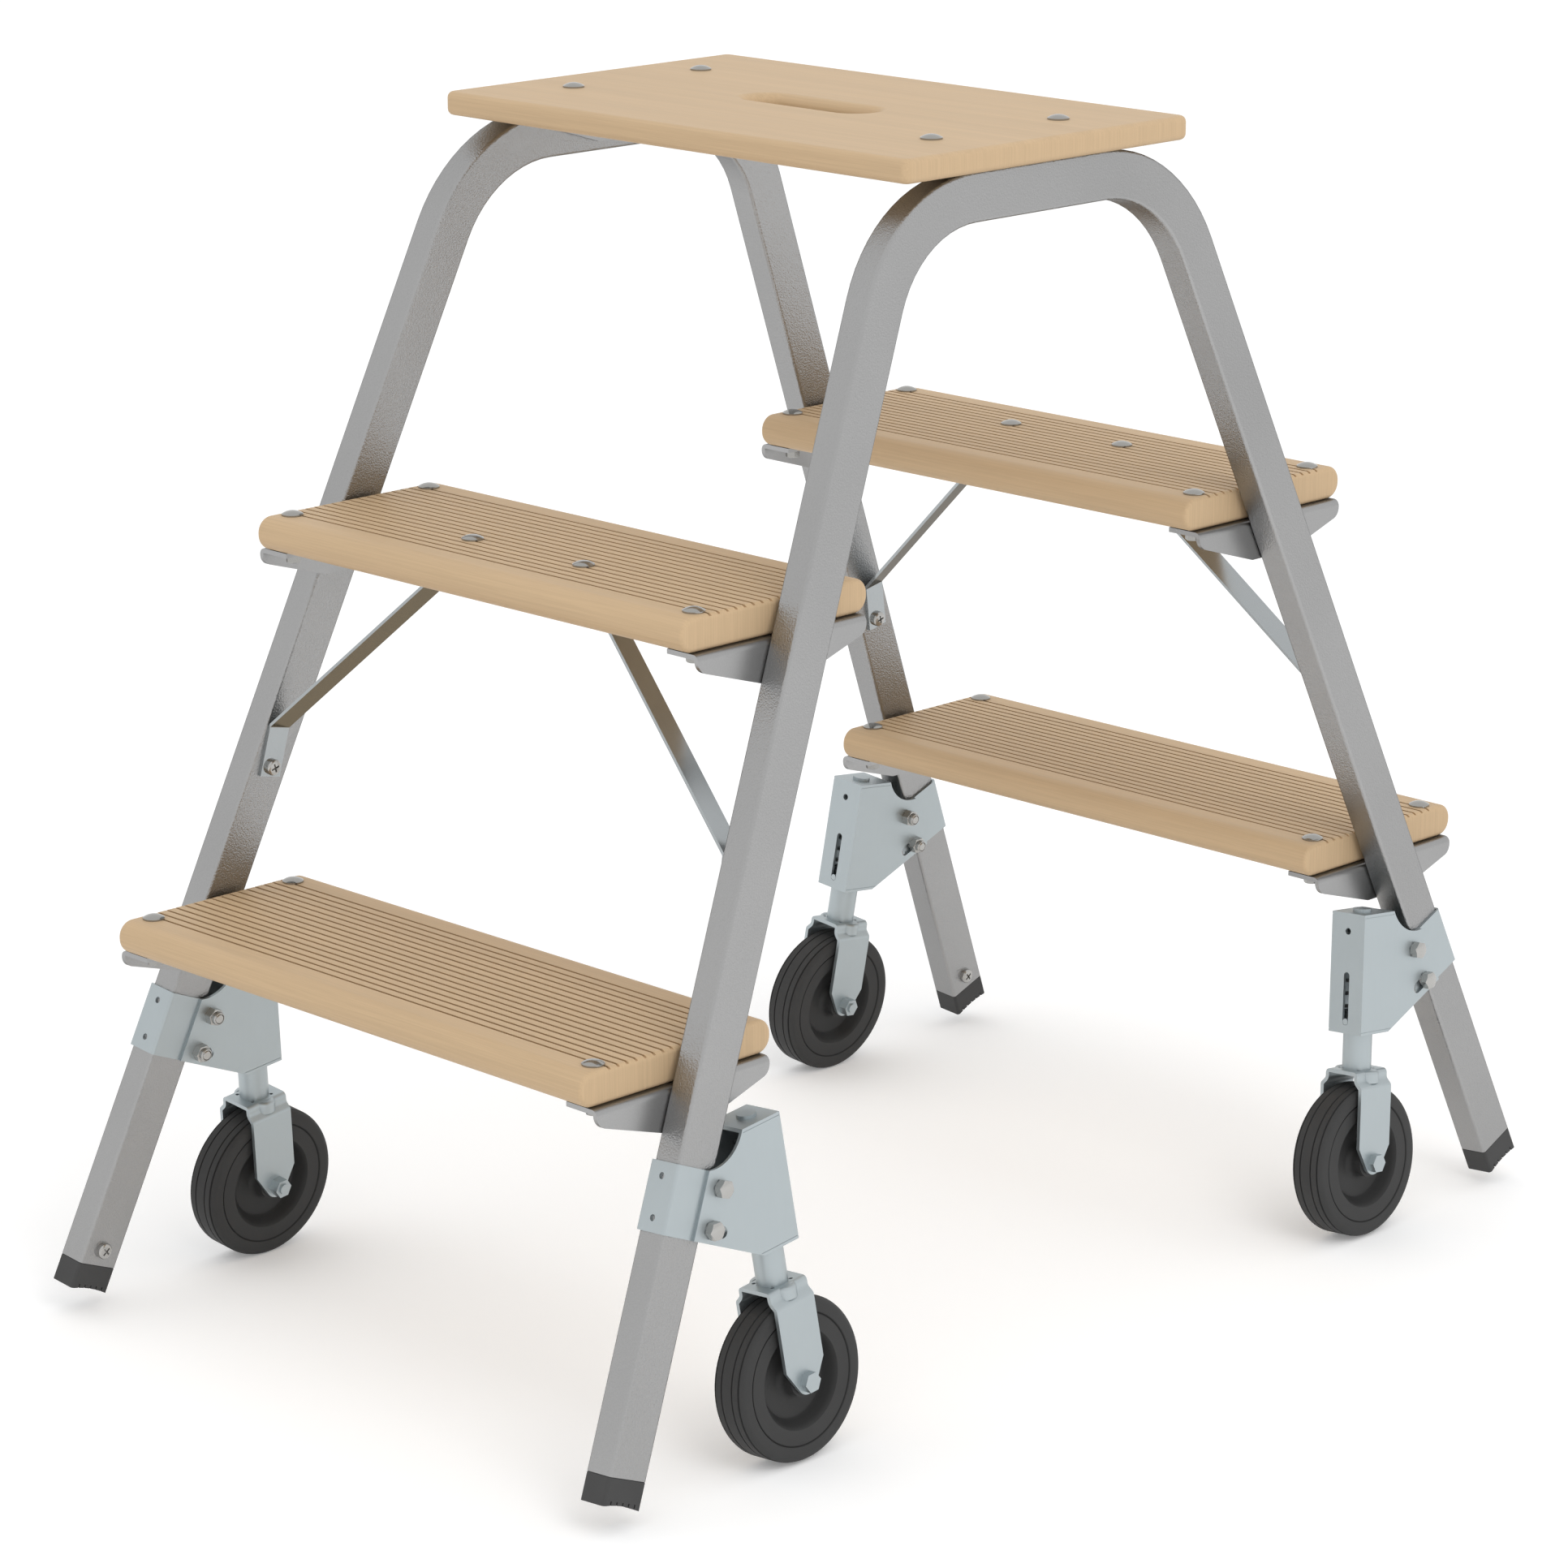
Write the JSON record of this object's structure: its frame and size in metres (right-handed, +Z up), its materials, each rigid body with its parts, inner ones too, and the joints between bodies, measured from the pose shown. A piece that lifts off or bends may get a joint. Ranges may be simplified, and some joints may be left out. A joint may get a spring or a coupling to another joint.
{
  "type": "mobile step platform",
  "caption": "Double-sided wooden step platform on splayed tube legs, with a hand slot in its top and a spring-loaded fixed castor clamped to each leg.",
  "frame": {"origin": "on the floor, under the middle of the platform", "axes": "+Z up, X along the treads, Y across the steps, so the wheels roll along Y"},
  "size_m": [0.5268, 0.8488, 0.7473],
  "materials": {
    "beech_plywood": "clear satin lacquer",
    "silver_grey_metal": "matt silver-grey with a fine pearl texture",
    "zinc_plated_steel": "bright zinc plating",
    "dark_plastic": "matt dark grey",
    "rim_plastic": "matt dark grey",
    "tyre_rubber": "matt dark grey rubber"
  },
  "bodies": {
    "step_frame": {"brace_left_back": "zinc_plated_steel", "brace_left_front": "zinc_plated_steel", "brace_right_back": "zinc_plated_steel", "brace_right_front": "zinc_plated_steel", "castor_fork_left_back": "zinc_plated_steel", "castor_fork_left_front": "zinc_plated_steel", "castor_fork_right_back": "zinc_plated_steel", "castor_fork_right_front": "zinc_plated_steel", "castor_housing_left_back": "zinc_plated_steel", "castor_housing_left_front": "zinc_plated_steel", "castor_housing_right_back": "zinc_plated_steel", "castor_housing_right_front": "zinc_plated_steel", "foot_cap_left_back": "dark_plastic", "foot_cap_left_front": "dark_plastic", "foot_cap_right_back": "dark_plastic", "foot_cap_right_front": "dark_plastic", "frame_tube_left": "silver_grey_metal", "frame_tube_right": "silver_grey_metal", "leg_clamp_left_back": "zinc_plated_steel", "leg_clamp_left_front": "zinc_plated_steel", "leg_clamp_right_back": "zinc_plated_steel", "leg_clamp_right_front": "zinc_plated_steel", "low_tread_back": "beech_plywood", "low_tread_bracket_left_back": "silver_grey_metal", "low_tread_bracket_left_front": "silver_grey_metal", "low_tread_bracket_right_back": "silver_grey_metal", "low_tread_bracket_right_front": "silver_grey_metal", "low_tread_front": "beech_plywood", "mid_tread_back": "beech_plywood", "mid_tread_bracket_left_back": "silver_grey_metal", "mid_tread_bracket_left_front": "silver_grey_metal", "mid_tread_bracket_right_back": "silver_grey_metal", "mid_tread_bracket_right_front": "silver_grey_metal", "mid_tread_front": "beech_plywood", "platform_board": "beech_plywood", "platform_bracket_left": "silver_grey_metal", "platform_bracket_right": "silver_grey_metal", "wheel_axle_left_back": "zinc_plated_steel", "wheel_axle_left_front": "zinc_plated_steel", "wheel_axle_right_back": "zinc_plated_steel", "wheel_axle_right_front": "zinc_plated_steel"},
    "wheel_left_front": {"wheel_rim_left_front": "rim_plastic", "tyre_left_front": "tyre_rubber"},
    "wheel_left_back": {"wheel_rim_left_back": "rim_plastic", "tyre_left_back": "tyre_rubber"},
    "wheel_right_front": {"wheel_rim_right_front": "rim_plastic", "tyre_right_front": "tyre_rubber"},
    "wheel_right_back": {"wheel_rim_right_back": "rim_plastic", "tyre_right_back": "tyre_rubber"}
  },
  "joints": [
    {"name": "wheel_left_front_roll", "type": "hinge", "parent": "step_frame", "child": "wheel_left_front", "pos_m": [-0.24117, -0.2641, 0.05053], "axis": [-0.9962, 0, 0.0872], "continuous": true},
    {"name": "wheel_left_back_roll", "type": "hinge", "parent": "step_frame", "child": "wheel_left_back", "pos_m": [-0.24117, 0.2641, 0.05053], "axis": [-0.9962, 0, 0.0872], "continuous": true},
    {"name": "wheel_right_front_roll", "type": "hinge", "parent": "step_frame", "child": "wheel_right_front", "pos_m": [0.24117, -0.2641, 0.05053], "axis": [-0.9962, 0, -0.0872], "continuous": true},
    {"name": "wheel_right_back_roll", "type": "hinge", "parent": "step_frame", "child": "wheel_right_back", "pos_m": [0.24117, 0.2641, 0.05053], "axis": [-0.9962, 0, -0.0872], "continuous": true}
  ]
}
